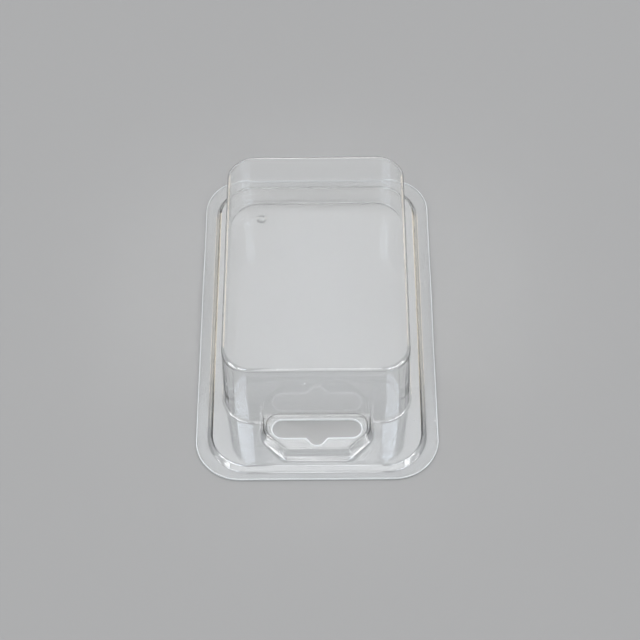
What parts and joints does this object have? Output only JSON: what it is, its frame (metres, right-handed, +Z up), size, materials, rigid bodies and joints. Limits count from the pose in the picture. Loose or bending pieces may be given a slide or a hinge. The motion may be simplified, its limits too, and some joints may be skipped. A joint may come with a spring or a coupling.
{
  "type": "plastic clamshell pack",
  "caption": "Clear heat-formed clamshell pack with a raised product box, a nested flat back, a creased hinge along one end and a hang slot at the other.",
  "frame": {"origin": "centre of the pack's outline, on the underside of the back rim, where the closed pack lies on a table", "axes": "+X across the pack to the right, +Y from the hanger end to the creased end, +Z up from the back half to the box's face"},
  "size_m": [0.0864, 0.135, 0.0362],
  "materials": {
    "clear_sheet": "clear glossy formed sheet, faintly cool, with soft forming ripples and hair scratches"
  },
  "bodies": {
    "back": {"back_shell": "clear_sheet"},
    "front": {"front_shell": "clear_sheet"}
  },
  "joints": [
    {"name": "living_hinge", "type": "hinge", "parent": "back", "child": "front", "pos_m": [0, 0.0675, 0.00045], "axis": [-1, 0, 0], "range_deg": [0, 115]}
  ]
}
